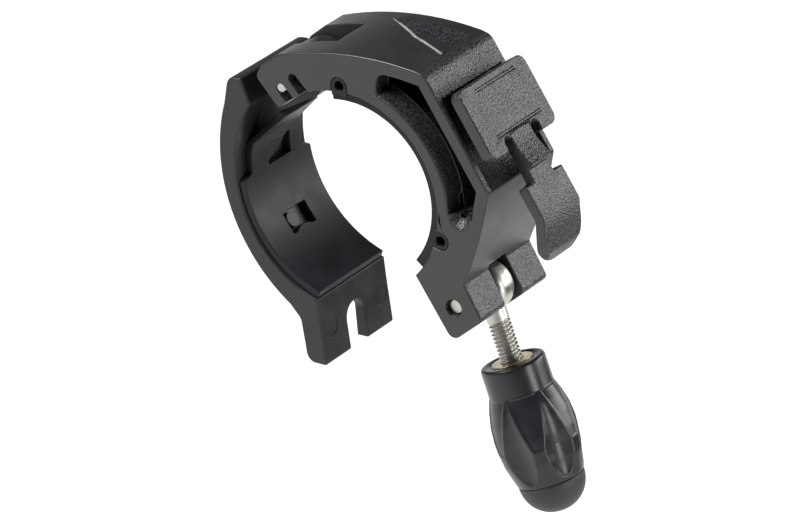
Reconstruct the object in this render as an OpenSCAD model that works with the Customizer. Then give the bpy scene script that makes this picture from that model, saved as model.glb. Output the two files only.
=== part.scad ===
// Light mount for a bicycle handlebar.
// A hinged arm and a rigid body close round the bar, a hinged eyebolt with
// a long knob pulls them together, and a sprung cleat on the body takes the light.
// The bore runs along Y, Z is up, and the origin is the centre of the bore.
// Outlines are drawn in the XZ plane, which is square to the bar.

/* [Clamp] */
// Diameter of the handlebar that the body's liner fits
bar_d = 31.8; // [29:0.1:34]
// Thickness of the rubber liner in the body
liner_t = 1.9; // [1.4:0.1:2.4]
// Lower end of the body liner, degrees from +X
liner_from = -36; // [-37:1:-28]
// Upper end of the body liner, degrees from +X
liner_to = 102; // [100:1:103]
// Distance from the liner's edge to the face of the body
liner_inset = 1.3; // [0.8:0.1:2]
// Radius of the two lugs that snap the body liner into each side plate
lug_r = 1.55; // [1.2:0.05:1.8]
// Hole in each lug
lug_hole_d = 1.8; // [1:0.1:2.2]

/* [Body] */
// Width of the body and the arm along the handlebar
body_w = 20.3; // [19:0.1:24]
// Thickness of the side plate round the window
plate_t = 1.3; // [1:0.1:2]
// Ring wall between the liner and the window
ring_wall = 2.15; // [1.6:0.05:2.6]
// Border between the window and the outer edge
window_border = 2; // [1.6:0.1:2.6]
// Web in the middle of the body
web_t = 2; // [1.4:0.1:3]
// Depth of the shelf that narrows the pocket behind the window
shelf_depth = 3.6; // [2.5:0.1:5]

/* [Hinge] */
// Diameter of the hinge pin
hinge_pin_d = 1.6; // [1.3:0.1:2]
// Thickness of each hooked ear
ear_t = 5.9; // [5:0.1:7]
// Radius of the arm's knuckle
knuckle_r = 4.3; // [3.6:0.1:4.5]
// Play of the knuckle between the ears, each side
knuckle_gap = 0.15; // [0.1:0.05:0.4]

/* [Arm] */
// Inner radius of the arm's rubber liner
arm_liner_r = 20.9; // [20:0.1:21.2]
// Thickness of the arm's rubber liner
arm_liner_t = 1.25; // [0.9:0.05:1.5]
// Distance from the arm liner's edge to the face of the arm
arm_liner_inset = 0.5; // [0.3:0.1:1]
// Size of each liner window along the bar
peg_window_w = 6.4; // [5:0.1:8]
// Size of each liner window round the bar
peg_window_h = 3.9; // [3.5:0.1:5]
// Diameter of the peg in the lower liner window
peg_d = 2.8; // [2:0.1:2.8]
// Slot in the fork for the eyebolt
fork_slot_w = 5.2; // [4.6:0.1:6]
// Depth of the seat for the knob in the back of the fork
fork_seat_depth = 2; // [1:0.1:2.4]

/* [Eyebolt] */
// Diameter of the eyebolt's pin
bolt_pin_d = 2.5; // [2:0.1:3]
// Thread diameter of the eyebolt
thread_d = 3.9; // [3.5:0.1:4.2]
// Outer diameter of the eye
eye_d = 9; // [8:0.1:9.6]
// Width of the eye
eye_w = 4.6; // [4:0.1:5]
// Slot between the lower ears
eye_slot_w = 5.4; // [5.2:0.1:7]
// Length of the eyebolt from the pin to its end
bolt_l = 25; // [22:0.5:26]
// Angle at which the eyebolt hangs, degrees from straight down
hang = 22; // [0:1:30]

/* [Knob] */
// Distance from the eyebolt's pin to the face of the knob
knob_at = 13.4; // [12:0.1:16]
// Diameter of the collar
collar_d = 11.4; // [10:0.1:12]
// Largest diameter of the knob
knob_d = 14.9; // [13:0.1:16]
// Length of the grip, from its face to the seam of the cap
grip_l = 21.1; // [20:0.1:24]
// Length of the cap beyond the seam
cap_l = 5.8; // [5:0.1:8]
// Number of flutes
flutes = 6; // [4:1:8]
// Depth of the flutes
flute_depth = 1.2; // [0.4:0.1:1.4]
// Diameter of the brass insert
insert_d = 7.2; // [6.4:0.1:8]
// Length of the brass insert
insert_l = 9; // [6:0.5:12]

/* [Cleat] */
// Width of the cleat plate along the handlebar
cleat_w = 19.4; // [16:0.1:20]
// Height of the cleat plate up the slope
cleat_h = 12.6; // [12:0.1:14]
// Thickness of the cleat plate
cleat_t = 2.2; // [1.8:0.1:2.6]
// Gap between the cleat plate and the slanted face
cleat_gap = 1.9; // [1.5:0.1:2.6]
// Angle of the cleat's normal above the horizontal
cleat_lean = 34.9; // [33:0.1:37]
// Depth of the channel beside the rail under the cleat
channel_depth = 1.8; // [1:0.1:1.9]
// Width of the rail under the cleat
rail_w = 12.4; // [9:0.1:14]

/* [Release lever] */
// Width of the tongue
tongue_w = 5.9; // [5:0.1:7]
// Width of the slots beside the tongue
tongue_slot_w = 2.1; // [1.6:0.1:2.6]
// Height of the latch ramp above the cleat
ramp_h = 1; // [0.5:0.1:1.5]
// Width of the press pad
pad_w = 11; // [9:0.1:13]

/* [Hidden] */
$fn = 96;

// Running clearance of pins and of the thread
fit = 0.05;
// Clearance of a liner, insert or cap in its seat
seat_gap = 0.05;
// Finest step of a rounded corner and of a long arc, degrees
corner_step = 15;
arc_step = 2.5;

seat_r = bar_d / 2 + liner_t;
half_w = body_w / 2;
liner_half = half_w - liner_inset;

// How much further out everything lies when the bore or the liner grows
grow = seat_r - 17.8;
function out(p) = let(s = 1 + grow / norm([p[0], p[1]]))
    p[2] == undef ? [p[0] * s, p[1] * s] : [p[0] * s, p[1] * s, p[2]];

// The same for the arm, which also follows its own liner
arm_grow = grow + arm_liner_r + arm_liner_t - 22.15;
function arm_out(p) = let(s = 1 + arm_grow / norm([p[0], p[1]]))
    p[2] == undef ? [p[0] * s, p[1] * s] : [p[0] * s, p[1] * s, p[2]];

// Slanted face: the cleat frame runs down the slope along X and outward along Z
cleat_at = out([24.98, 18.07]);
rim_h = -(cleat_t + cleat_gap);
slope = [sin(cleat_lean), -cos(cleat_lean)];
outward = [cos(cleat_lean), sin(cleat_lean)];
function on_slope(s, h) = [cleat_at[0] + s * slope[0] + h * outward[0],
                           cleat_at[1] + s * slope[1] + h * outward[1]];

// Long arcs of the body's outline
top_r = 60 + grow;
top_c = [8, 25.43 - 60];
back_r = 74.25 + grow;
back_c = [-45.9, 16.74];

// Pins
hinge_at = out([-12.9, 15.7]);
spare_at = out([-10.5, 17.95]);
bolt_at = out([21.15, -15.45]);
hook_slot_d = hinge_pin_d + 2 * fit;
pin_recess = 0.9;
ear_inner = half_w - ear_t;

function polar(r, a) = [r * cos(a), r * sin(a)];

// Points on a circle from one angle to another
function arc(c, r, a0, a1, step = arc_step) =
    let(n = max(2, ceil(abs(a1 - a0) / step)))
    [for (i = [0:n]) let(a = a0 + (a1 - a0) * i / n) [c[0] + r * cos(a), c[1] + r * sin(a)]];

// One corner [x, z, radius] of an outline, rounded between its neighbours
function round_corner(p, q, s) =
    q[2] == undef || q[2] == 0 ? [[q[0], q[1]]] :
    let(u0 = [p[0] - q[0], p[1] - q[1]], v0 = [s[0] - q[0], s[1] - q[1]],
        u = u0 / norm(u0), v = v0 / norm(v0), half = acos(u * v) / 2,
        t = min(q[2] / tan(half), 0.48 * norm(u0), 0.48 * norm(v0)),
        r = t * tan(half), m = (u + v) / norm(u + v),
        c = [q[0], q[1]] + m * (r / sin(half)),
        e = [q[0], q[1]] + u * t - c, f = [q[0], q[1]] + v * t - c,
        a0 = atan2(e[1], e[0]), turn = atan2(e[0] * f[1] - e[1] * f[0], e * f),
        n = max(2, ceil(abs(turn) / corner_step)))
    [for (i = [0:n]) c + r * [cos(a0 + turn * i / n), sin(a0 + turn * i / n)]];

function rounded(pts) = let(n = len(pts))
    [for (i = [0:n - 1]) each round_corner(pts[(i + n - 1) % n], pts[i], pts[(i + 1) % n])];

// Extrudes an XZ outline from y0 to y1
module slab(y0, y1) {
    translate([0, y1, 0]) rotate([90, 0, 0]) linear_extrude(y1 - y0) children();
}

// Both sides of the part
module both_sides() {
    children();
    mirror([0, 1, 0]) children();
}

// A pie slice of the XZ plane about the bore
module sector(a0, a1, r = 60) {
    polygon(concat([[0, 0]], arc([0, 0], r, a0, a1, 20)));
}

module ring(r0, r1, a0, a1) {
    intersection() {
        difference() {
            circle(r1, $fn = 180);
            circle(r0, $fn = 180);
        }
        sector(a0, a1);
    }
}

// Places a shape in the cleat frame: X down the slope, Y along the bar, Z outward
module in_cleat_frame() {
    translate([cleat_at[0], 0, cleat_at[1]]) rotate([0, 90 - cleat_lean, 0]) children();
}

// An outline in slope coordinates, extruded along Y
module cleat_slab(w) {
    in_cleat_frame() translate([0, w / 2, 0]) rotate([90, 0, 0]) linear_extrude(w) children();
}

// Body

// Corner where the slanted face meets the top, and the foot of the slanted face
top_corner = on_slope(-11.1, rim_h);
slope_foot = on_slope(10.55, rim_h);
ear_top = out([23.17, -10.61]);
function angle_on(c, p) = atan2(p[1] - c[1], p[0] - c[0]);

module body_outline() {
    top_start = angle_on(top_c, out([-13.9, 21.3]));
    top_end = angle_on(top_c, top_corner) + 1.9;
    foot_a = angle_on(back_c, slope_foot) - 0.4;
    ear_a = angle_on(back_c, ear_top);
    difference() {
        polygon(rounded(concat(
            [out([-13.43, 11.86, 0.3]), out([-17.95, 16.5, 1.1]), out([-16.85, 18.7, 1.5])],
            arc(top_c, top_r, top_start, top_end),
            [[top_corner[0], top_corner[1], 4], [slope_foot[0], slope_foot[1], 0.5]],
            arc(back_c, back_r, foot_a, ear_a),
            [out([26.75, -16.4, 1]), out([20.9, -21.7, 1.5]), out([13.72, -11.72, 0.6]),
             [0, 0], out([-4.2, 17.35, 0.3]), out([-6.8, 16.5, 1])])));
        circle(seat_r, $fn = 180);
    }
}

// Crescent between the ring wall and the outer edge, rounded at its upper end
module window_outline(inner_r, slope_border, border, from_a) {
    top_in = top_r - border;
    upper_a = 73.5;
    upper_r = min(1.6, plate_t * 2);
    function on_top(x) = [x, top_c[1] + sqrt(pow(top_in, 2) - pow(x - top_c[0], 2))];
    intersection() {
        polygon(rounded([[0, 0], polar(inner_r, upper_a - 16), polar(inner_r, upper_a - 8),
                         [inner_r * cos(upper_a), inner_r * sin(upper_a), upper_r],
                         concat(on_top(inner_r * cos(upper_a) + 0.5), [upper_r]),
                         on_top(inner_r * cos(upper_a) + 4.5), on_top(inner_r * cos(upper_a) + 9),
                         [60, 30], [60, 60 * tan(from_a)]]));
        difference() {
            intersection() {
                translate(top_c) circle(top_in, $fn = 180);
                translate(back_c) circle(back_r - border, $fn = 180);
                polygon([on_slope(-30, rim_h - slope_border), on_slope(30, rim_h - slope_border),
                         on_slope(30, -60), on_slope(-30, -60)]);
            }
            circle(inner_r, $fn = 180);
        }
    }
}

// Round lower end of the window, narrowing with depth like a countersink
end_a = 3.6;
end_mid = (seat_r + ring_wall + norm([back_c[0] + back_r - window_border - 1.75, 0])) / 2;
module window_end() {
    end_r = end_mid - seat_r - ring_wall - 0.1;
    narrow = 0.6 * end_r / plate_t;
    translate([end_mid * cos(end_a), -half_w, end_mid * sin(end_a)]) rotate([-90, 0, 0]) {
        translate([0, 0, -0.5]) cylinder(r1 = end_r + 0.5 * narrow, r2 = 0.4 * end_r, h = plate_t + 0.5);
        cylinder(r = 0.35 * end_r, h = shelf_depth, $fn = 48);
    }
}

// Hooked slot: round at the pin, wider at its mouth
module hook_slot(p) {
    union() {
        translate(p) circle(d = hook_slot_d, $fn = 48);
        translate(p) rotate(-45) polygon([[0, -hook_slot_d / 2], [9, -hook_slot_d / 2 - 0.3],
                                         [9, hook_slot_d / 2 + 0.7], [2.2, hook_slot_d / 2],
                                         [0, hook_slot_d / 2]]);
    }
}

lug_a = [94.3, -12.3];
lug_at_r = seat_r + 1.1;
lug_depth = 3;

// Lug that holds the liner, with room round it when it is cut from the plate
module lug_outline(a, gap) {
    rotate(a) union() {
        translate([lug_at_r, 0]) circle(lug_r + gap, $fn = 48);
        translate([seat_r - 0.6, -lug_r - gap]) square([lug_at_r - seat_r + 0.6, 2 * (lug_r + gap)]);
    }
}

// Hollow left for the knuckle between the ears
module knuckle_room() {
    translate(hinge_at) circle(knuckle_r + 0.35);
    polygon([out([-30, 4]), out([-8.0, 4]), [hinge_at[0] + knuckle_r + 0.45, hinge_at[1]],
             out([-8.0, 20.6]), out([-4.9, 24.6]), [-4.9, 40], [-30, 40]]);
}

// Channel round the cleat's rail and the scoop below it
module channel_profile() {
    floor_h = rim_h - channel_depth;
    foot_s = 10.5;
    scoop_r = (pow(foot_s - 4.6, 2) + pow(channel_depth, 2)) / (2 * channel_depth);
    difference() {
        translate([-6.3, floor_h]) square([6.3 + foot_s, 20]);
        translate([4.6, floor_h]) difference() {
            square([foot_s - 4.6 + 0.01, channel_depth]);
            translate([0, scoop_r]) circle(scoop_r, $fn = 180);
        }
    }
}

// Rounded rectangle centred on the origin
module pad_outline(x, y, r) {
    polygon(rounded([[-x / 2, -y / 2, r], [x / 2, -y / 2, r], [x / 2, y / 2, r], [-x / 2, y / 2, r]]));
}

lever_axis_s = 4.2;
lever_root_r = cleat_t / 2 - 0.05;

// Two thin lines pressed into the cleat across its width
module double_groove(s, w) {
    for (d = [-0.24, 0.24])
        translate([s + d - 0.12, -w / 2, -0.25]) cube([0.24, w, 1]);
}

module cleat() {
    in_cleat_frame() difference() {
        union() {
            translate([0, 0, -cleat_t]) linear_extrude(cleat_t) pad_outline(cleat_h, cleat_w, 1.6);
            translate([-cleat_h / 2 + 0.4, -rail_w / 2, rim_h - channel_depth - 0.4])
                cube([lever_axis_s + cleat_h / 2 - 2, rail_w, cleat_gap + channel_depth + 0.8]);
        }
        // slots beside the tongue, round at their inner ends
        both_sides() translate([lever_axis_s + 0.85, tongue_w / 2 + tongue_slot_w / 2, -cleat_t - 1])
            linear_extrude(cleat_t + 2) union() {
                circle(d = tongue_slot_w, $fn = 48);
                translate([0, -tongue_slot_w / 2]) square([8, tongue_slot_w]);
            }
        // room for the tongue and its rounded root
        translate([lever_axis_s, -tongue_w / 2 - 0.05, -cleat_t - 1])
            cube([8, tongue_w + 0.1, cleat_t + 2]);
        translate([lever_axis_s, tongue_w / 2 + 0.05, -cleat_t / 2]) rotate([90, 0, 0])
            cylinder(r = lever_root_r + fit, h = tongue_w + 0.1, $fn = 48);
        translate([0, 0.3, 0]) double_groove(-4.9, 11.8);
        translate([0, 0.35, 0]) double_groove(3.3, 13.3);
    }
}

// Hollow in the top: its back slopes down from the top's own curve and meets
// a floor that falls away from the front rim
module top_scoop() {
    back_y = half_w - 3.1;
    tilt = 18.3;
    tilted_r = top_r / cos(tilt);
    end_x = 13.4 + 0.5 * grow;
    end_top = top_c[1] + sqrt(pow(top_r, 2) - pow(end_x - top_c[0], 2));
    difference() {
        translate([0, 0, end_top - 3]) linear_extrude(8)
            polygon([[-3.2 - grow, half_w - 2.4], [6.2, 1.04], [end_x, -2.05], [end_x, half_w - 2.4]]);
        translate([top_c[0], back_y, top_c[1] + top_r - tilted_r / cos(tilt)]) rotate([tilt - 90, 0, 0])
            cylinder(r = tilted_r, h = 60, center = true, $fn = 180);
        translate([end_x, 4.5, end_top - 0.93]) rotate([-7.2, 0.7, 0])
            translate([-40, -30, -10]) cube([80, 60, 10]);
    }
}

module main_body() {
    color("#2b2c2e") {
        difference() {
            slab(-half_w, half_w) body_outline();
            // crescent windows and the pockets behind them
            both_sides() slab(-half_w - 1, -half_w + plate_t)
                window_outline(seat_r + ring_wall, window_border, window_border + 0.4, end_a);
            both_sides() slab(-half_w - 1, -half_w + shelf_depth)
                window_outline(seat_r + ring_wall, channel_depth + 1.5, window_border + 0.4, end_a);
            both_sides() slab(-half_w - 1, -web_t / 2)
                window_outline(seat_r + ring_wall + 1, channel_depth + 1.5, window_border + 0.4, end_a);
            both_sides() window_end();
            // hinge end
            slab(-ear_inner, ear_inner) knuckle_room();
            slab(-half_w - 1, half_w + 1) hook_slot(hinge_at);
            slab(-half_w - 1, half_w + 1) hook_slot(spare_at);
            // lower ears and the hole for the eyebolt's pin
            slab(-eye_slot_w / 2, eye_slot_w / 2) translate(bolt_at) circle(eye_d / 2 + 1.5);
            slab(-half_w - 1, half_w + 1) translate(bolt_at) circle(d = bolt_pin_d + 2 * fit, $fn = 48);
            both_sides() slab(-half_w - 1, -half_w + pin_recess + 0.3) translate(bolt_at)
                circle(d = bolt_pin_d + 0.6);
            // seats for the liner's lugs
            for (a = lug_a) both_sides() slab(-half_w - 1, -half_w + lug_depth)
                lug_outline(a, seat_gap);
            // channel and scoop round the cleat
            cleat_slab(2 * (half_w - plate_t)) channel_profile();
            top_scoop();
        }
        cleat();
    }
}

module body_liner() {
    color("#1b1c1e") {
        slab(-liner_half, liner_half)
            ring(bar_d / 2, seat_r - seat_gap, liner_from, liner_to);
        for (a = lug_a) both_sides() difference() {
            slab(-half_w + 0.05, -half_w + lug_depth - 0.1) lug_outline(a, 0);
            slab(-half_w - 1, -half_w + lug_depth + 1) rotate(a) translate([lug_at_r, 0])
                circle(d = lug_hole_d, $fn = 48);
            slab(-half_w - 1, half_w) circle(bar_d / 2, $fn = 180);
        }
    }
}

// Arm

arm_band_r = arm_liner_r + arm_liner_t + seat_gap;
arm_half = half_w;
arm_c = [5.33, 2.15];
arm_r = 30.8;
knuckle_half = ear_inner - knuckle_gap;
peg_a = [183.6, 218];
peg_y = [0.8, 0.2];
tab_r = 4;
tab_in = 0.7;
mark_at = arm_out([-4.99, -27]);
slot_top_z = -25.5 - arm_grow;
mark_y = 7.4;

// The arm liner is narrow near the knuckle and full width below, and its tail
// leaves the arc and rises to the hinge
liner_end_a = 254;
liner_step_z = -3;
narrow_half = 7.2;
tail_from_a = 174;
liner_top_a = 154;
tail_rise = 3.45;

// Places a shape at one of the liner's windows: X up the arm, Y along the bar, Z away from the bore
module at_window(i) {
    rotate([0, -peg_a[i], 0]) translate([arm_liner_r + 0.2, peg_y[i], 0]) rotate([0, 90, 0]) children();
}

module arm_outline() {
    difference() {
        polygon(rounded(concat(
            [arm_out([-19.2, 11.1, 0.6]), arm_out([-21.0, 15.35, 0.4]), arm_out([-23.7, 15.0, 2])],
            [for (p = arc(arm_c, arm_r, 165, 237)) arm_out(p)],
            [arm_out([-9.35, -25.8, 2]), arm_out([-7.9, -33.4, 1.8]), arm_out([-3.95, -33.2, 0.5]),
             arm_out([-5.35, -24.9, 25]), arm_out([-5.85, -21.4, 0.4]), [0, 0]])));
        circle(arm_band_r, $fn = 180);
    }
}

// Knuckle round the hinge pin and the web that joins it to the arm
module knuckle_outline() {
    difference() {
        union() {
            translate(hinge_at) circle(knuckle_r);
            polygon(rounded([[hinge_at[0] - knuckle_r * 0.55, hinge_at[1] + knuckle_r * 0.835],
                             arm_out([-21.4, 14.9, 1]), arm_out([-24, 8.2]), arm_out([-24, 2]),
                             polar(arm_band_r, tail_from_a), polar(arm_band_r - tail_rise, liner_top_a),
                             [hinge_at[0] + knuckle_r * 0.8, hinge_at[1] - knuckle_r * 0.6]]));
        }
        translate(hinge_at) circle(d = hinge_pin_d + 2 * fit, $fn = 48);
    }
}

module clamp_arm() {
    color("#2b2c2e") {
        difference() {
            slab(-arm_half, arm_half) arm_outline();
            // slot for the eyebolt, round at its closed end
            translate([-20, 0, 0]) rotate([90, 0, 90]) linear_extrude(20) {
                translate([0, slot_top_z - fork_slot_w / 2]) circle(d = fork_slot_w, $fn = 48);
                translate([-fork_slot_w / 2, -60]) square([fork_slot_w, 60 + slot_top_z - fork_slot_w / 2]);
            }
            // shallow round mark on the face of each prong
            both_sides() translate([mark_at[0], mark_y, mark_at[1]]) rotate([0, 80.4, 0])
                translate([0, 0, -0.12]) cylinder(d = 4, h = 2, $fn = 48);
            // seat for the knob in the back of the fork
            slab(-collar_d / 2 - 0.4, collar_d / 2 + 0.4)
                polygon([arm_out([-14, -24.6]), arm_out([-5.3 - 4 + fork_seat_depth, -24.9]),
                         arm_out([-4.15 - 4 + fork_seat_depth, -36]), arm_out([-14, -36])]);
        }
        slab(-knuckle_half, knuckle_half) knuckle_outline();
        // pegs in the liner's windows
        at_window(0) linear_extrude(arm_liner_t + 0.6)
            polygon([[peg_window_h / 2 - 0.1, -peg_window_w / 2 + 0.1],
                     [peg_window_h / 2 - 0.1, peg_window_w / 2 - 0.4],
                     [0.2, 0.3], [-peg_window_h / 2 + 0.4, -peg_window_w / 2 + 0.1]]);
        at_window(1) translate([0.3, -1.4, 0]) cylinder(d = peg_d, h = arm_liner_t + 0.6, $fn = 48);
    }
}

module arm_liner_outline() {
    difference() {
        polygon(concat(arc([0, 0], arm_liner_r + arm_liner_t, liner_end_a, tail_from_a),
                       [polar(arm_liner_r + arm_liner_t - tail_rise, liner_top_a),
                        polar(arm_liner_r - tail_rise, liner_top_a)],
                       arc([0, 0], arm_liner_r, tail_from_a, liner_end_a)));
    }
}

module arm_liner() {
    color("#1b1c1e") difference() {
        slab(-arm_half + arm_liner_inset, arm_half - arm_liner_inset) arm_liner_outline();
        // the sides step in above the full width, then taper towards the hinge
        both_sides() translate([-40, 0, 0]) rotate([90, 0, 90]) linear_extrude(40)
            polygon(rounded([[-arm_half - 1, liner_step_z - 1.2],
                             [-arm_half + arm_liner_inset, liner_step_z - 1, 0.8],
                             [-narrow_half, liner_step_z, 0.6], [-narrow_half, 1.2, 5],
                             [-knuckle_half - 0.5, 9, 1], [0, 9.6], [0, 20], [-arm_half - 1, 20]]));
        for (i = [0, 1]) at_window(i) difference() {
            translate([-peg_window_h / 2, -peg_window_w / 2, -1.2])
                cube([peg_window_h, peg_window_w, arm_liner_t + 3]);
            // the lower edge of the second window bows inward between its corners
            if (i == 1) translate([-peg_window_h / 2 - tab_r + tab_in, 0, -5]) cylinder(r = tab_r, h = 20);
        }
    }
}

module hinge_pin() {
    color("#c9c6bb") slab(-half_w + 0.15, half_w - 0.15)
        translate(hinge_at) circle(d = hinge_pin_d, $fn = 48);
}

module bolt_pin() {
    color("#c9c6bb") slab(-half_w + pin_recess, half_w - pin_recess)
        translate(bolt_at) circle(d = bolt_pin_d, $fn = 48);
}

// Eyebolt and knob: drawn along +Z from the pin, then hung from it

module hung() {
    translate([bolt_at[0], 0, bolt_at[1]]) rotate([0, 180 - hang, 0]) children();
}

// Half section of the eye: a crowned band with rounded edges
function eye_profile() = let(r = eye_d / 2, w = eye_w / 2)
    [[0, -w], [r - 1, -w], [r - 0.55, -w + 0.15], [r - 0.2, -w + 0.6], [r, -w * 0.25],
     [r, w * 0.25], [r - 0.2, w - 0.6], [r - 0.55, w - 0.15], [r - 1, w], [0, w]];

module eyebolt() {
    color("#cfccc2") hung() difference() {
        union() {
            rotate([90, 0, 0]) rotate_extrude() polygon(eye_profile());
            // neck tapers from the eye to the thread
            rotate_extrude() polygon([[0, 0], [eye_w / 2 - 0.02, 0], [eye_w / 2 - 0.02, eye_d / 2 - 0.7],
                                      [thread_d / 2, eye_d / 2 + 1.3], [thread_d / 2, bolt_l - 0.5],
                                      [thread_d / 2 - 0.5, bolt_l], [0, bolt_l]]);
        }
        rotate([90, 0, 0]) cylinder(d = bolt_pin_d + 2 * fit, h = eye_w + 2, center = true, $fn = 48);
    }
}

thread_bore_d = thread_d + 0.14;
seam = grip_l;
cap_spigot_r = collar_d / 2 - 1.4;
bore_depth = grip_l - 3.5;

module knob_insert() {
    color("#b7a56a") hung() translate([0, 0, knob_at - 0.1]) difference() {
        cylinder(d = insert_d, h = insert_l);
        translate([0, 0, -1]) cylinder(d = thread_bore_d, h = insert_l + 2, $fn = 48);
    }
}

// Half section of the grip: collar, shoulder, swelling and taper to the seam
function grip_profile() = let(c = collar_d / 2, m = knob_d / 2, k = grip_l / 21.1)
    [[0, 0], [c - 0.5, 0], [c - 0.15, 0.15], [c, 0.5], [c, 4.8 * k],
     [c + (m - c) * 0.42, 7.0 * k], [c + (m - c) * 0.80, 9.6 * k], [m - 0.04, 12.2 * k], [m, 13.6 * k],
     [m - 0.12, 15.2 * k], [m - 0.5, 17.2 * k], [m - 1.0, 19.2 * k], [c + 0.1, grip_l]];

module knob_grip() {
    color("#232426") hung() translate([0, 0, knob_at]) difference() {
        union() {
            rotate_extrude() polygon(concat(grip_profile(), [[0, grip_l]]));
            cylinder(r = cap_spigot_r, h = grip_l + 3);
        }
        translate([0, 0, -1]) cylinder(d = insert_d + 2 * seat_gap, h = insert_l + 1, $fn = 48);
        cylinder(d = thread_bore_d + 0.3, h = bore_depth, $fn = 48);
        // almond flutes: each is cut by a spindle, an arc turned about its chord
        for (i = [0:flutes - 1]) rotate([0, 0, 360 / flutes * i + 20]) flute();
    }
}

module flute() {
    half_l = 8.6;
    r = 4.4;
    big_r = (half_l * half_l + r * r) / (2 * r);
    translate([knob_d / 2 + r - flute_depth, 0, grip_l * 0.64]) rotate([0, 3, 0])
        rotate_extrude($fn = 48) intersection() {
            translate([r - big_r, 0]) circle(big_r, $fn = 180);
            translate([0, -half_l]) square([r + 1, 2 * half_l]);
        }
}

// Domed cap pushed over the grip's spigot
module knob_cap() {
    c = collar_d / 2;
    color("#1d1e20") hung() translate([0, 0, knob_at + grip_l]) difference() {
        rotate_extrude() polygon(concat(
            [[0, 0.05], [c + 0.05, 0.05]],
            [for (i = [1:12]) let(a = 90 * i / 12)
                [(c + 0.05) * pow(cos(a), 0.9), 0.05 + (cap_l - 0.05) * sin(a)]]));
        translate([0, 0, -1]) cylinder(r = cap_spigot_r + seat_gap, h = 4 + seat_gap);
    }
}

// Release lever: tongue between the slots, latch ramp, neck and press pad

pad_top_s = 12.7;
pad_bend_s = 18.9;
pad_h = -0.25;
pad_t = 1.9;

module release_lever() {
    crest_s = 10.4;
    color("#2b2c2e") {
        cleat_slab(tongue_w) union() {
            translate([lever_axis_s, -cleat_t / 2]) circle(lever_root_r, $fn = 48);
            polygon([[lever_axis_s, -cleat_t / 2 - lever_root_r], [lever_axis_s, -cleat_t / 2 + lever_root_r],
                     [6.8, -0.05], [crest_s, ramp_h], [crest_s + 0.15, pad_h], [pad_top_s + 0.6, pad_h],
                     [pad_top_s + 0.6, pad_h - pad_t], [crest_s, -cleat_t + 0.1]]);
        }
        intersection() {
            cleat_slab(pad_w) polygon([[pad_top_s, pad_h - pad_t], [pad_top_s, pad_h], [pad_bend_s, pad_h],
                                       [24.2, pad_h - 2.95], [25.6, pad_h - 4.7], [25.2, pad_h - 5.3],
                                       [23.2, pad_h - 4.75], [pad_bend_s - 0.5, pad_h - pad_t]]);
            in_cleat_frame() translate([0, 0, -12]) linear_extrude(16)
                polygon(rounded([[pad_top_s - 1, -pad_w / 2], [pad_top_s - 1, pad_w / 2],
                                 [25.7, pad_w / 2, 3.6], [25.7, -pad_w / 2, 3.6]]));
        }
    }
}

main_body();
body_liner();
clamp_arm();
arm_liner();
hinge_pin();
bolt_pin();
eyebolt();
knob_insert();
knob_grip();
knob_cap();
release_lever();
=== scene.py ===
"""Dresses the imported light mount: finishes, rounded edges, thread, fluted knob, floor, lights and camera.

Sizes are in millimetres in the makers' functions and become metres where a mesh is made.
"""

import math

import bmesh
import bpy
import numpy as np
from mathutils import Matrix, Vector


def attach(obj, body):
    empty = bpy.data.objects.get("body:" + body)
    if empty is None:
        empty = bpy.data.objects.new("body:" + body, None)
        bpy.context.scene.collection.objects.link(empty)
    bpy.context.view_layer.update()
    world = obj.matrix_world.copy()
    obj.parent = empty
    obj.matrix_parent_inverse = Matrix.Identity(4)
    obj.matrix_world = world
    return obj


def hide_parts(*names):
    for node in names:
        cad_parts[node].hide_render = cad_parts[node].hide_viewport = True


MM = 0.001
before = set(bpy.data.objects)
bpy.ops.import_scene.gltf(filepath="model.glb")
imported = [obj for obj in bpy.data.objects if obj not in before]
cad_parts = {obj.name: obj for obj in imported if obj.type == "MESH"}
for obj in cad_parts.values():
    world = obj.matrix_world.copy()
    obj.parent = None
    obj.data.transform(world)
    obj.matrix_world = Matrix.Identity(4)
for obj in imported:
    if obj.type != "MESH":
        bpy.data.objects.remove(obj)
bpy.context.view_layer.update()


# Camera

AZIMUTH, ELEVATION = math.radians(33.414), math.radians(26.049)
DISTANCE, PIXELS_PER_MM = 1003.8, 6.034
AIM_RIGHT, AIM_UP = 3.297, -14.442
PHOTO_WIDTH, SENSOR_WIDTH = 800, 36


def set_camera():
    """Long lens at the photograph's angle, looking along -back at a point below and right of the origin."""
    level = math.cos(ELEVATION)
    back = Vector((math.sin(AZIMUTH) * level, -math.cos(AZIMUTH) * level, math.sin(ELEVATION)))
    right = Vector((math.cos(AZIMUTH), math.sin(AZIMUTH), 0))
    up = back.cross(right)
    camera = bpy.data.objects.new("camera", bpy.data.cameras.new("camera"))
    camera.data.sensor_fit, camera.data.sensor_width = "HORIZONTAL", SENSOR_WIDTH
    camera.data.lens = DISTANCE * PIXELS_PER_MM / PHOTO_WIDTH * SENSOR_WIDTH
    camera.data.clip_start, camera.data.clip_end = 0.05, 20
    place = (right * AIM_RIGHT + up * AIM_UP + back * DISTANCE) * MM
    camera.matrix_world = Matrix.Translation(place) @ Matrix((right, up, back)).transposed().to_4x4()
    bpy.context.scene.collection.objects.link(camera)
    bpy.context.scene.camera = camera


set_camera()


# Node helpers for the materials

def new_material(name, colour, roughness, metallic=0.0, specular=0.5):
    """A material with its constants on the shader's own sockets; returns it with its tree and shader."""
    material = bpy.data.materials.new(name)
    material.use_nodes = True
    tree = material.node_tree
    shader = tree.nodes["Principled BSDF"]
    shader.inputs["Base Color"].default_value = (*colour, 1)
    shader.inputs["Roughness"].default_value = roughness
    shader.inputs["Metallic"].default_value = metallic
    shader.inputs["Specular IOR Level"].default_value = specular
    return material, tree, shader


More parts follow.
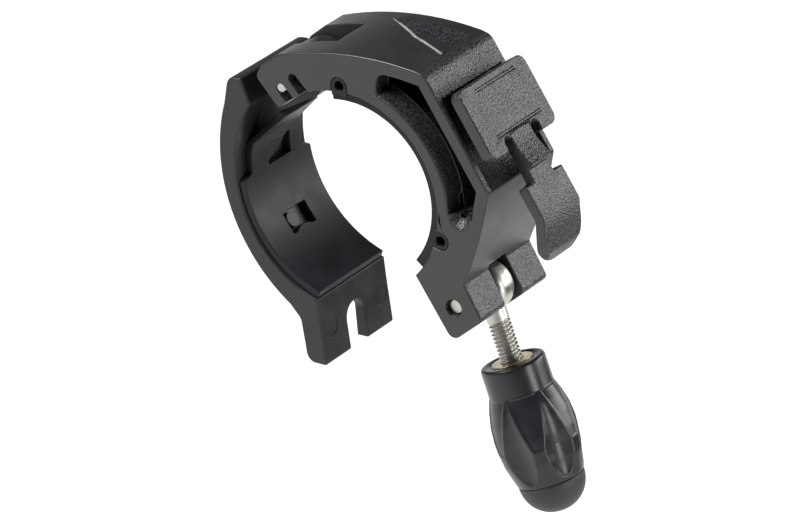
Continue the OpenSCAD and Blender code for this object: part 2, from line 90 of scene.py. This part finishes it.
def object_point(tree, turn=(0, 0, 0)):
    """Object coordinates in millimetres, turned."""
    source = tree.nodes.new("ShaderNodeTexCoord")
    mapping = tree.nodes.new("ShaderNodeMapping")
    mapping.inputs["Rotation"].default_value = turn
    mapping.inputs["Scale"].default_value = (1 / MM, 1 / MM, 1 / MM)
    tree.links.new(source.outputs["Object"], mapping.inputs["Vector"])
    return mapping.outputs["Vector"]


def noise(tree, point, size, detail=2.0):
    """Noise whose lumps are about size millimetres across."""
    node = tree.nodes.new("ShaderNodeTexNoise")
    node.inputs["Scale"].default_value = 1.0 / size
    node.inputs["Detail"].default_value = detail
    node.inputs["Roughness"].default_value = 0.5
    tree.links.new(point, node.inputs["Vector"])
    return node.outputs["Fac"]


def spread(tree, value, low, high, start=0.3, end=0.7):
    """Maps a value from start..end onto low..high."""
    node = tree.nodes.new("ShaderNodeMapRange")
    node.inputs["From Min"].default_value, node.inputs["From Max"].default_value = start, end
    node.inputs["To Min"].default_value, node.inputs["To Max"].default_value = low, high
    tree.links.new(value, node.inputs["Value"])
    return node.outputs["Result"]


def tint(tree, shader, value, first, second, start=0.3, end=0.7):
    """Takes the colour from first to second as a value goes from start to end."""
    node = tree.nodes.new("ShaderNodeMix")
    node.data_type = "RGBA"
    node.inputs["A"].default_value, node.inputs["B"].default_value = (*first, 1), (*second, 1)
    tree.links.new(spread(tree, value, 0, 1, start, end), node.inputs["Factor"])
    tree.links.new(node.outputs["Result"], shader.inputs["Base Color"])


def gloss(tree, shader, value, low, high):
    """Takes the roughness from low to high with a value."""
    tree.links.new(spread(tree, value, low, high), shader.inputs["Roughness"])


def bump(tree, shader, height, depth, strength=1.0):
    """Raises the surface by height times depth millimetres in the shading."""
    node = tree.nodes.new("ShaderNodeBump")
    node.inputs["Strength"].default_value = strength
    node.inputs["Distance"].default_value = depth * MM
    tree.links.new(height, node.inputs["Height"])
    tree.links.new(node.outputs["Normal"], shader.inputs["Normal"])


def combine(tree, operation, *values):
    """Arithmetic on values; a number among them is set on its socket."""
    node = tree.nodes.new("ShaderNodeMath")
    node.operation = operation
    for socket, value in zip(node.inputs, values):
        if isinstance(value, float):
            socket.default_value = value
        else:
            tree.links.new(value, socket)
    return node.outputs[0]


# Materials

def smooth_nylon():
    """Satin nylon: faint orange peel, slow changes of gloss and shade."""
    material, tree, shader = new_material("smooth_nylon", (0.020, 0.021, 0.021), 0.36, specular=0.5)
    point = object_point(tree)
    slow, fine = noise(tree, point, 6.0, 3), noise(tree, point, 0.35)
    tint(tree, shader, slow, (0.017, 0.018, 0.018), (0.024, 0.025, 0.025))
    gloss(tree, shader, slow, 0.32, 0.42)
    bump(tree, shader, fine, 0.006, 0.5)
    return material


def arm_nylon():
    """The arm's nylon, a little duller and darker than the body's."""
    material, tree, shader = new_material("arm_nylon", (0.016, 0.017, 0.018), 0.38, specular=0.34)
    point = object_point(tree)
    slow, fine = noise(tree, point, 5.0, 3), noise(tree, point, 0.3, 3)
    tint(tree, shader, slow, (0.013, 0.014, 0.015), (0.020, 0.021, 0.022))
    gloss(tree, shader, slow, 0.33, 0.44)
    bump(tree, shader, fine, 0.02, 0.6)
    return material


def grained_nylon():
    """Spark-eroded mould finish: lumps a third of a millimetre across, with their tops painted paler as a
    painted highlight on the grain.
    """
    material, tree, shader = new_material("grained_nylon", (0.020, 0.021, 0.022), 0.36, specular=0.46)
    point = object_point(tree)
    grain, slow = noise(tree, point, 0.36), noise(tree, point, 5.0)
    # The grain's relief is real; its paler tops are a painted highlight.
    tint(tree, shader, grain, (0.004, 0.005, 0.006), (0.046, 0.048, 0.052), start=0.35, end=0.65)
    gloss(tree, shader, slow, 0.30, 0.40)
    bump(tree, shader, grain, 0.15)
    return material


def painted_highlight_edge():
    """A thin nylon edge coloured pale and bright: a painted highlight along the rim of the hollow."""
    material, tree, shader = new_material("painted_highlight_edge", (0.30, 0.31, 0.32), 0.25, specular=0.5)
    # Noise moves the painted highlight between paler and darker grey, and its gloss with it.
    highlight_noise = noise(tree, object_point(tree), 0.9, 3)
    tint(tree, shader, highlight_noise, (0.20, 0.21, 0.22), (0.40, 0.41, 0.42))
    gloss(tree, shader, highlight_noise, 0.3, 0.2)
    return material


def liner_rubber():
    """Dull rubber: a soft bloom and very fine grain."""
    material, tree, shader = new_material("liner_rubber", (0.009, 0.010, 0.012), 0.5, specular=0.25)
    point = object_point(tree)
    slow, fine = noise(tree, point, 4.0, 3), noise(tree, point, 0.2)
    tint(tree, shader, slow, (0.007, 0.008, 0.010), (0.012, 0.013, 0.016))
    gloss(tree, shader, slow, 0.44, 0.54)
    bump(tree, shader, fine, 0.008, 0.6)
    return material


def nickel_steel():
    """Warm nickel plate over tumbled steel: very shallow dents, uneven shade and gloss."""
    material, tree, shader = new_material("nickel_steel", (0.60, 0.59, 0.55), 0.24, metallic=1.0)
    point = object_point(tree)
    dents, slow = noise(tree, point, 0.7), noise(tree, point, 2.0, 3)
    tint(tree, shader, slow, (0.40, 0.39, 0.35), (0.56, 0.55, 0.51))
    gloss(tree, shader, slow, 0.28, 0.42)
    bump(tree, shader, dents, 0.003, 0.5)
    return material


def turned_brass():
    """Pale brass with a fine grain and a dull, uneven film."""
    material, tree, shader = new_material("turned_brass", (0.72, 0.62, 0.36), 0.3, metallic=1.0)
    point = object_point(tree)
    film, fine = noise(tree, point, 1.2, 3), noise(tree, point, 0.12)
    tint(tree, shader, film, (0.72, 0.62, 0.38), (0.88, 0.80, 0.58))
    gloss(tree, shader, film, 0.25, 0.42)
    bump(tree, shader, fine, 0.01, 0.5)
    return material


LINE_PITCH = 0.36
HANG = math.radians(22)


def knob_plastic():
    """Half-gloss plastic of the grip, ruled with fine lines across its axis where the lining attribute is 1.

    The wave texture runs through one line every 0.314 over its scale.
    """
    material, tree, shader = new_material("knob_plastic", (0.014, 0.015, 0.017), 0.3, specular=0.4)
    point = object_point(tree)
    slow, fine = noise(tree, point, 5.0, 3), noise(tree, point, 0.3)
    lining = tree.nodes.new("ShaderNodeAttribute")
    lining.attribute_name = "lining"
    lines = tree.nodes.new("ShaderNodeTexWave")
    lines.wave_type, lines.bands_direction = "BANDS", "Z"
    lines.inputs["Scale"].default_value = 0.314 / LINE_PITCH
    tree.links.new(object_point(tree, turn=(0, HANG, 0)), lines.inputs["Vector"])
    ruled = combine(tree, "MULTIPLY", lines.outputs["Fac"], lining.outputs["Fac"])
    tint(tree, shader, slow, (0.012, 0.013, 0.015), (0.017, 0.018, 0.021))
    gloss(tree, shader, slow, 0.26, 0.34)
    bump(tree, shader, combine(tree, "MULTIPLY_ADD", fine, 0.12, ruled), 0.02, 0.5)
    return material


def cap_plastic():
    """Matte soft plastic of the end cap."""
    material, tree, shader = new_material("cap_plastic", (0.017, 0.017, 0.018), 0.5)
    point = object_point(tree)
    slow, fine = noise(tree, point, 4.0, 3), noise(tree, point, 0.15)
    tint(tree, shader, slow, (0.015, 0.015, 0.016), (0.020, 0.020, 0.022))
    gloss(tree, shader, slow, 0.5, 0.6)
    bump(tree, shader, fine, 0.012, 0.7)
    return material


# EDGE is the painted highlight colour for the lip along the hollow.
SMOOTH, GRAINED, ARM, EDGE = smooth_nylon(), grained_nylon(), arm_nylon(), painted_highlight_edge()
RUBBER, STEEL, BRASS = liner_rubber(), nickel_steel(), turned_brass()
KNOB, CAP = knob_plastic(), cap_plastic()


# Rounded copies of the moulded and turned pieces

SAME_POINT, FLAT_ANGLE, SHARP_ANGLE = 2e-6, math.radians(0.4), math.radians(32)


def rows(items, name, width, kind=np.float64):
    """One property of a mesh's elements as an array, with a row for each element."""
    values = np.empty(len(items) * width, kind)
    items.foreach_get(name, values)
    return values.reshape(-1, width)


def edge_weights(mesh, weigh):
    """Marks the sharp edges for rounding; weigh gives each edge's share of the width from its middle point.

    Sorting the face corners by edge puts an edge's two faces side by side. The dot product of their normals
    is the cosine of the edge's angle.
    """
    middles = (rows(mesh.vertices, "co", 3) / MM)[rows(mesh.edges, "vertices", 2, np.int32)].mean(1)
    normals = rows(mesh.polygons, "normal", 3)
    corner_edge = rows(mesh.loops, "edge_index", 1, np.int32).ravel()
    corner_counts = rows(mesh.polygons, "loop_total", 1, np.int32).ravel()
    corner_face = np.repeat(np.arange(len(mesh.polygons)), corner_counts)
    order = np.argsort(corner_edge, kind="stable")
    corner_edge, corner_face = corner_edge[order], corner_face[order]
    edges = np.arange(len(mesh.edges))
    first = np.searchsorted(corner_edge, edges)
    second = np.minimum(first + 1, len(order) - 1)
    cosine = (normals[corner_face[first]] * normals[corner_face[second]]).sum(1)
    sharp = (corner_edge[second] == edges) & (cosine < math.cos(SHARP_ANGLE))
    weights = np.where(sharp, weigh(middles), 0.0).astype(np.float32)
    mesh.attributes.new("bevel_weight_edge", "FLOAT", "EDGE").data.foreach_set("value", weights)


def merged_mesh(node, name, prepare):
    """A node's triangles joined at their corners, with flat faces made whole.

    prepare(work) may move the joined points before the flat faces are made whole.
    """
    mesh = bpy.data.meshes.new(name)
    work = bmesh.new()
    work.from_mesh(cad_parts[node].data)
    bmesh.ops.remove_doubles(work, verts=work.verts, dist=SAME_POINT)
    if prepare:
        prepare(work)
    bmesh.ops.dissolve_limit(work, angle_limit=FLAT_ANGLE, verts=work.verts, edges=work.edges)
    work.to_mesh(mesh)
    work.free()
    return mesh


def one_finish(normals, centres):
    """The first material everywhere."""
    return np.zeros(len(normals))


def even_rounding(middles):
    """The whole width at every sharp edge."""
    return np.ones(len(middles))


def rounded_copy(node, name, body, materials, width, segments=2, choose=one_finish,
                 weigh=even_rounding, prepare=None):
    """A merged copy of a CAD node with its sharp edges rounded to width.

    choose(normals, centres) gives each face's material number, from unit normals and centres in millimetres.
    """
    mesh = merged_mesh(node, name, prepare)
    mesh.materials.clear()
    for material in materials:
        mesh.materials.append(material)
    numbers = choose(rows(mesh.polygons, "normal", 3), rows(mesh.polygons, "center", 3) / MM)
    mesh.polygons.foreach_set("material_index", numbers.astype(np.int32))
    mesh.polygons.foreach_set("use_smooth", np.ones(len(mesh.polygons), bool))
    edge_weights(mesh, weigh)
    piece = bpy.data.objects.new(name, mesh)
    bpy.context.scene.collection.objects.link(piece)
    round_edges = piece.modifiers.new("round_edges", "BEVEL")
    round_edges.width, round_edges.segments = width * MM, segments
    round_edges.limit_method = "WEIGHT"
    round_edges.use_clamp_overlap = False
    even = piece.modifiers.new("even_shading", "WEIGHTED_NORMAL")
    even.weight, even.keep_sharp = 60, False
    return finished(piece, node, body)


def finished(piece, node, body):
    """Puts a piece on its body, in place of its CAD node where it has one."""
    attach(piece, body)
    if node:
        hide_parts(node)
    return piece


# Places on the body and the arm, in the plane across the bar unless they have three numbers

LEAN = math.radians(34.9)
OUT_OF_CLEAT = np.array([math.cos(LEAN), 0, math.sin(LEAN)])
DOWN_CLEAT = np.array([math.sin(LEAN), 0, -math.cos(LEAN)])
CLEAT_AT = np.array([24.98, 0, 18.07])
GROOVES_DOWN, GROOVE_HALF_LENGTH = [-4.9, 3.3], 7.3
HOOKS = np.array([[-12.9, 15.7], [-10.5, 17.95]])
BOLT_PIN = np.array([21.15, -15.45])
LUG_R, LUG_ANGLES = 18.9, np.radians([94.3, -12.3])
LUGS = LUG_R * np.stack([np.cos(LUG_ANGLES), np.sin(LUG_ANGLES)], 1)
PRONG_MARK, PRONG_MARK_Y = np.array([-4.9956, -27.001]), 7.4
RIM_Y = 10.1


def near(points, places, reach):
    """Which points lie within reach of one of the places, seen along the bar."""
    flat = points[:, [0, 2]]
    return (np.linalg.norm(flat[:, None] - np.atleast_2d(places)[None], axis=2) < reach).any(1)


def body_finish(normals, centres):
    """Satin side faces, top, floor of the hollow and curve below the slanted face; the rest is grained."""
    side = np.abs(normals[:, 1]) > 0.9
    curve = (centres[:, 0] > 22.5) & (centres[:, 2] < 7.5) & (centres[:, 2] > -10.6) & (normals[:, 0] > 0.8)
    on_top = (centres[:, 2] > 21) & (centres[:, 0] < 14)
    top = on_top & (normals[:, 2] > 0.9) & (np.abs(normals[:, 1]) < 0.05)
    hollow_floor = on_top & (normals[:, 2] > 0.8) & (normals[:, 1] > 0.1)
    return np.where(side | curve | top | hollow_floor, 0, 1)


def body_edges(middles):
    """Broad rounding along the outer rims and the hollow; little at hooks, lugs and pins, none in grooves."""
    share = np.where(np.abs(middles[:, 1]) > RIM_Y, 1.25, 0.9)
    share[near(middles, HOOKS, 2.8) | near(middles, BOLT_PIN, 2.2)] = 0.45
    share[near(middles, LUGS, 2.6)] = 0.7
    share[(middles[:, 2] > 23.5) & (np.abs(middles[:, 1]) < 8) & (middles[:, 0] < 13.3)] = 1.0
    from_cleat = middles - CLEAT_AT
    down, out = from_cleat @ DOWN_CLEAT, from_cleat @ OUT_OF_CLEAT
    in_line = (np.abs(down[:, None] - GROOVES_DOWN) < 0.7).any(1)
    share[in_line & (np.abs(middles[:, 1]) < GROOVE_HALF_LENGTH) & (out > -0.32) & (out < 0.06)] = 0
    return share


def arm_edges(middles):
    """Broad rounding along the arm's rims, little on the pegs and the round marks."""
    share = np.where(np.abs(middles[:, 1]) > RIM_Y, 1.2, 0.9)
    radius = np.hypot(middles[:, 0], middles[:, 2])
    share[(radius < 22.4) & (np.abs(middles[:, 1]) < 5) & (middles[:, 2] > -18)] = 0.35
    beside_mark = np.abs(np.abs(middles[:, 1]) - PRONG_MARK_Y) < 2.2
    share[beside_mark & near(middles, PRONG_MARK, 2.3)] = 0.15
    return share


def tongue_finish(normals, centres):
    """Satin at the sides, grained elsewhere."""
    return np.where(np.abs(normals[:, 1]) > 0.9, 0, 1)


POCKET_R, POCKET_FLOOR_Y, POCKET_DRAFT = 19.95, 6.55, 0.97
POCKET_FROM, POCKET_TO = math.radians(12), math.radians(72)


def slope_pocket_wall(work):
    """Leans the inner wall of each crescent pocket outward, as the mould's draft does.

    A point at the wall's foot, on the pocket's floor, moves out along its radius by POCKET_DRAFT.
    """
    for point in work.verts:
        x, y, z = (c / MM for c in point.co)
        radius = math.hypot(x, z)
        at_foot = abs(radius - POCKET_R) < 0.06 and abs(abs(y) - POCKET_FLOOR_Y) < 0.05
        if at_foot and POCKET_FROM < math.atan2(z, x) < POCKET_TO:
            point.co.x *= 1 + POCKET_DRAFT / radius
            point.co.z *= 1 + POCKET_DRAFT / radius


rounded_copy("main_body", "body_moulding", "body", [SMOOTH, GRAINED], width=0.26, segments=3,
             choose=body_finish, weigh=body_edges, prepare=slope_pocket_wall)
rounded_copy("clamp_arm", "arm_moulding", "arm", [ARM], width=0.32, segments=3,
             weigh=arm_edges)
rounded_copy("release_lever", "release_tongue", "lever", [SMOOTH, GRAINED], width=0.3,
             choose=tongue_finish)
rounded_copy("body_liner", "body_liner_rubber", "body", [RUBBER], width=0.15)
rounded_copy("arm_liner", "arm_liner_rubber", "arm", [RUBBER], width=0.16)
rounded_copy("hinge_pin", "hinge_pin_steel", "arm", [STEEL], width=0.12)
rounded_copy("bolt_pin", "bolt_pin_steel", "body", [STEEL], width=0.15)
rounded_copy("knob_insert", "knob_insert_brass", "knob_core", [BRASS], width=0.12)
rounded_copy("knob_cap", "knob_cap_plastic", "knob", [CAP], width=0.12)


# Pieces worked out as grids: rows along a path, columns round it

def circle(count):
    """Angles evenly round a turn, the first not repeated."""
    return np.linspace(0, 2 * math.pi, count, endpoint=False)


def soft_step(value):
    """0 below 0, 1 above 1, and 3 v^2 - 2 v^3 between."""
    value = np.clip(value, 0, 1)
    return value ** 2 * (3 - 2 * value)


ALONG = np.array([math.sin(HANG), 0, -math.cos(HANG)])
ACROSS = np.array([-math.cos(HANG), 0, -math.sin(HANG)])
SIDEWAYS = np.array([0, 1, 0])
PIN_AT = np.array([BOLT_PIN[0], 0, BOLT_PIN[1]])


def hung(across, sideways, along):
    """Points given across, along the bar and along the bolt from its pin, put in the mount's frame."""
    return PIN_AT + across[..., None] * ACROSS + sideways[..., None] * SIDEWAYS + along[..., None] * ALONG


def turned(radius, turn, along):
    """A surface turned round the bolt's axis: radius at each angle and each place along it."""
    return hung(radius * np.cos(turn), radius * np.sin(turn), along + 0 * turn)


def tube_faces(count, columns, start, closed):
    """Quads over a grid that wraps round its columns, and round its rows too where it is closed."""
    row, column = np.meshgrid(np.arange(count if closed else count - 1), np.arange(columns), indexing="ij")
    here, below, beside = row * columns, (row + 1) % count * columns, (column + 1) % columns
    return np.stack([here + column, here + beside, below + beside, below + column], -1).reshape(-1, 4) + start


def tube_piece(name, node, body, materials, grids, attribute=None):
    """Joins tube grids into one mesh, which may replace a node; each grid is (points, closed).

    A grid that isn't closed gets a flat end at each end. Where the quads enclose a negative volume, seen from
    the grid's own middle, they are turned round, so that all faces point outwards.
    """
    points, faces, start = [], [], 0
    for grid, closed in grids:
        count, columns = grid.shape[:2]
        last = start + (count - 1) * columns
        quads = tube_faces(count, columns, start, closed)
        around = grid.reshape(-1, 3) - grid.reshape(-1, 3).mean(0)
        a, b, c, d = (around[quads[:, k] - start] for k in range(4))
        volume = (np.cross(c - a, d - b) * (a + b + c + d)).sum()
        ends = []
        if not closed:
            ends = [list(range(start, start + columns))[::-1], list(range(last, last + columns))]
        if volume < 0:
            quads, ends = quads[:, ::-1], [ring[::-1] for ring in ends]
        points.append(grid.reshape(-1, 3))
        faces += quads.tolist() + ends
        start += count * columns
    mesh = bpy.data.meshes.new(name)
    mesh.from_pydata((np.concatenate(points) * MM).tolist(), [], faces)
    for material in materials:
        mesh.materials.append(material)
    mesh.polygons.foreach_set("use_smooth", np.array([len(f) == 4 for f in faces]))
    if attribute is not None:
        values = attribute[1].astype(np.float32).ravel()
        mesh.attributes.new(attribute[0], "FLOAT", "POINT").data.foreach_set("value", values)
    mesh.update()
    piece = bpy.data.objects.new(name, mesh)
    bpy.context.scene.collection.objects.link(piece)
    return finished(piece, node, body)


# The top is an arc of radius TOP_R, highest at TOP_X; the lip's corners are seen from above
TOP_X, TOP_Z, TOP_R = 8, 25.43, 60
LIP_CORNERS = np.array([[-1.9, 6.82], [6.2, 1.04], [13.3, -2.0]])
LIP_HALF_WIDTH, LIP_SHIFT, LIP_HEIGHT, LIP_DEPTH = 0.25, 0.1, 0.1, 0.3


def rim_grid():
    """The raised lip along the front of the hollow in the top.

    Half an ellipse stands above the surface and is carried along the rim. Its path joins three corners on the
    top's arc, with the bend cut across; the lip grows from a third of its size at the far end.
    """
    step, (far, bend, close) = np.linspace(0, 1, 49)[:, None], LIP_CORNERS
    first, second = far + (bend - far) * step, bend + (close - bend) * step
    path = np.concatenate([first[:-3], (first[-3:-2] + bend * 2 + second[2:3]) / 4, second[3:]])
    run = np.gradient(path, axis=0)
    run /= np.linalg.norm(run, axis=1)[:, None]
    inward = np.stack([-run[:, 1], run[:, 0]], 1)
    lap = circle(24)
    grow = np.clip((path[:, 0] + 2.2) / 4.5, 0.34, 1)[:, None]
    place = path[:, None] + inward[:, None] * ((LIP_HALF_WIDTH * np.cos(lap) + LIP_SHIFT) * grow)[..., None]
    top = TOP_Z - TOP_R + np.sqrt(TOP_R ** 2 - (path[:, 0] - TOP_X) ** 2)
    height = top[:, None] + np.where(np.sin(lap) > 0, LIP_HEIGHT, LIP_DEPTH) * np.sin(lap) * grow
    return np.concatenate([place, height[..., None]], -1)


EYE_MIDDLE_R, EYE_HALF_BAND, EYE_HALF_WIDTH = 2.92, 1.58, 2.29
NECK_ALONG = [2.2, 3.4, 4.0, 4.5, 5.0, 5.4, 5.8]
NECK_R = [2.3, 2.72, 2.6, 2.38, 2.16, 2.03, 1.97]
NECK_HALF_WIDTH = 2.24
PITCH, CREST_R, ROOT_R = 0.7, 1.95, 1.53
THREAD_FROM, THREAD_TO = 5.9, 25.0


def eye_grid():
    """The eye: a rounded oblong, |r|^3 + |y|^3 = 1 about the middle of the band, turned round the pin."""
    turn, lap = circle(96)[None, :], circle(40)[:, None]
    across, sideways = (np.sign(wave) * np.abs(wave) ** (2 / 3) for wave in (np.cos(lap), np.sin(lap)))
    radius = EYE_MIDDLE_R + EYE_HALF_BAND * across
    return hung(radius * np.cos(turn), EYE_HALF_WIDTH * sideways + 0 * turn, radius * np.sin(turn))


def shank_grid():
    """The neck and the screw: the radius falls from eye to shank, then rises and dips with the thread.

    A crest lies where along / pitch less turn, counted in whole turns, is a whole number.
    """
    turn = circle(48)[None, :]
    along = np.concatenate([np.linspace(NECK_ALONG[0], NECK_ALONG[-1], 14),
                            np.arange(THREAD_FROM, THREAD_TO - 0.02, PITCH / 10), [THREAD_TO]])[:, None]
    ridge = np.abs(2 * np.mod(along / PITCH - turn / (2 * math.pi), 1) - 1)
    screw = ROOT_R + (CREST_R - ROOT_R) * soft_step((ridge - 0.1) / 0.75)
    start = np.clip((along - THREAD_FROM) / 0.5, 0, 1)
    radius = np.where(along < THREAD_FROM - 0.05, np.interp(along, NECK_ALONG, NECK_R),
                      CREST_R * (1 - start) + screw * start)
    radius = np.minimum(radius, CREST_R - np.clip(along - (THREAD_TO - 0.6), 0, 1) * 0.8)
    sideways = np.clip(radius * np.sin(turn), -NECK_HALF_WIDTH, NECK_HALF_WIDTH)
    return hung(radius * np.cos(turn), sideways, along + 0 * turn)


KNOB_T = [13.4, 13.5, 13.75, 14.1, 18.35, 18.6, 20.6, 23.1, 25.8, 27.8, 30.3, 32.8, 34.3, 34.48]
KNOB_R = [5.2, 5.42, 5.56, 5.6, 5.62, 5.68, 6.38, 7.02, 7.38, 7.42, 7.08, 6.28, 5.82, 5.68]
BORE = np.array([[2.17, 30.9], [2.17, 22.45], [3.66, 22.4], [3.66, 13.55], [3.8, 13.42], [5.0, 13.4]])
HUB_R = 4.4
FLUTES, FLUTE_PHASE = 6, math.radians(26)
FLUTE_FROM, PARTING_AT, FLUTE_END_LENGTH = 18.3, 27.8, 5.9
FLUTE_HALF_WIDTH, FLUTE_DEPTH, PANEL_DEPTH = 2.75, 1.2, 0.16


def grip_outline(along):
    """The grip's radius before the flutes: straight lines between points, smoothed below the collar."""
    fine = np.linspace(KNOB_T[0], KNOB_T[-1], 900)
    outline = np.interp(fine, KNOB_T, KNOB_R)
    window = np.hanning(61)
    soft = np.convolve(np.pad(outline, 30, mode="edge"), window / window.sum(), mode="valid")
    keep = np.clip((np.abs(fine - 18.45) - 0.1) / 0.5, 0, 1)
    keep *= np.clip((fine - 18.4) / 0.3, 0, 1) * np.clip((34.1 - fine) / 0.5, 0, 1)
    return np.interp(along, fine, outline * (1 - keep) + soft * keep)


def grip_grid():
    """The grip: a turned outline, less six almond flutes and the sunk, lined panels between them.

    A flute is a parabola across its width. Its half width grows evenly from the collar to the parting line,
    and closes in a quarter ellipse below it; its depth goes with the width to the power 1.6. Returns the grid
    and each point's lining.
    """
    turn = circle(288)[None, :]
    along = np.concatenate([[13.4, 13.44, 13.5, 13.6, 13.75, 13.95, 14.2], np.linspace(14.8, 18.2, 6),
                            np.linspace(18.3, 34.3, 150), [34.4, 34.48]])[:, None]
    radius = grip_outline(along)
    opening = (along - FLUTE_FROM) / (PARTING_AT - FLUTE_FROM)
    closing = np.sqrt(np.clip(1 - ((along - PARTING_AT) / FLUTE_END_LENGTH) ** 2, 0, 1))
    half = FLUTE_HALF_WIDTH * np.clip(np.where(along < PARTING_AT, opening, closing), 0, 1)
    half_share = math.pi / FLUTES
    from_flute = np.abs(np.mod(turn - FLUTE_PHASE + half_share, 2 * half_share) - half_share) * radius
    across = 1 - (from_flute / np.maximum(half, 0.02)) ** 2
    dip = FLUTE_DEPTH * (half / FLUTE_HALF_WIDTH) ** 1.6 * (np.sqrt(across ** 2 + 0.004) + across) / 2
    panel = soft_step((from_flute - half - 0.3) / 0.25)
    panel = panel * soft_step((along - 18.55) / 0.2) * soft_step((PARTING_AT + 0.05 - along) / 0.25)
    outside = turned(radius - np.where(half > 0.01, dip, 0) - PANEL_DEPTH * panel, turn, along)
    inside = turned(BORE[:, :1], turn, BORE[:, 1:])
    hub = turned(HUB_R, turn, np.array([[KNOB_T[-1]]]))
    lining = np.concatenate([np.zeros(inside.shape[:2]), panel, np.zeros(turn.shape)])
    return np.concatenate([inside, outside, hub]), lining


tube_piece("eyebolt_steel", "eyebolt", "bolt", [STEEL], [(eye_grid(), True), (shank_grid(), False)])
# The lip along the hollow carries EDGE, the painted highlight colour.
tube_piece("hollow_rim", None, "body", [EDGE], [(rim_grid(), False)])
grip, lining = grip_grid()
tube_piece("knob_grip_plastic", "knob_grip", "knob", [KNOB], [(grip, False)],
           ("lining", lining))


# Floor and lights; lengths here are in metres

FLOOR_HALF, FLOOR_Z = 12, -0.22
CARD_CENTRE = np.array([0.24, 0.30, -0.125])
CARD_SIDE, CARD_UP = np.array([0.78, -0.62, 0]) * 0.2, np.array([0, 0, 0.085])

# Each softbox: name, direction from the mount, distance, width, height, brightness
SOFTBOXES = [
    ("right_back", (0.60, 0.72, 0.21), 0.9, 0.8, 0.4, 5.6),
    ("right_side", (0.90, -0.05, 0.10), 0.9, 0.26, 0.5, 8.5),
    ("overhead", (-0.46, -0.45, 0.77), 1.0, 0.5, 0.5, 20.0),
    ("top_soft", (-0.12, 0.34, 0.93), 1.0, 0.85, 0.32, 0.7),
    ("back_low", (-0.38, 0.92, 0.0), 1.2, 0.9, 0.24, 0.9),
]


def stage_sheet(name, centre, side, up, material):
    """A flat four-cornered sheet that belongs to the studio: centre plus or minus side and up."""
    mesh = bpy.data.meshes.new(name)
    corners = [tuple(centre + a * side + b * up) for a, b in ((-1, -1), (1, -1), (1, 1), (-1, 1))]
    mesh.from_pydata(corners, [], [(0, 1, 2, 3)])
    mesh.materials.append(material)
    sheet = bpy.data.objects.new(name, mesh)
    bpy.context.scene.collection.objects.link(sheet)
    return sheet


def floor():
    """A pale floor far enough below that the soft shadow stays out of the view."""
    material, _, shader = new_material("floor_paint", (0.45, 0.45, 0.45), 0.9, specular=0.1)
    shader.inputs["Emission Color"].default_value = (1, 1, 1, 1)
    shader.inputs["Emission Strength"].default_value = 0.75
    side, up = np.array([FLOOR_HALF, 0, 0]), np.array([0, FLOOR_HALF, 0])
    stage_sheet("floor", np.array([0, 0, FLOOR_Z]), side, up, material)


def dark_card():
    """A black card behind and to the right, below the large softbox, which the lens doesn't see."""
    material, _, _ = new_material("card_black", (0.01, 0.01, 0.01), 0.9, specular=0.1)
    card = stage_sheet("dark_card", CARD_CENTRE, CARD_SIDE, CARD_UP, material)
    card.visible_camera = card.visible_shadow = card.visible_diffuse = False


def softbox(name, direction, distance, width, height, brightness):
    """An area light that shines on the mount; its power is brightness times pi times its area."""
    light = bpy.data.lights.new(name, "AREA")
    light.shape, light.size, light.size_y = "RECTANGLE", width, height
    light.energy = brightness * math.pi * width * height
    lamp = bpy.data.objects.new(name, light)
    towards = Vector(direction).normalized()
    turn = towards.to_track_quat("Z", "Y").to_matrix().to_4x4()
    lamp.matrix_world = Matrix.Translation(towards * distance) @ turn
    lamp.visible_camera = False
    bpy.context.scene.collection.objects.link(lamp)


def studio():
    """A dim sky, the softboxes and the dark card; colours are shown as they are."""
    world = bpy.data.worlds.new("studio")
    bpy.context.scene.world = world
    world.use_nodes = True
    sky = world.node_tree.nodes["Background"]
    sky.inputs["Color"].default_value = (0.95, 0.97, 1, 1)
    sky.inputs["Strength"].default_value = 0.05
    for values in SOFTBOXES:
        softbox(*values)
    dark_card()
    bpy.context.scene.view_settings.view_transform = "Standard"


floor()
studio()

bpy.context.view_layer.update()
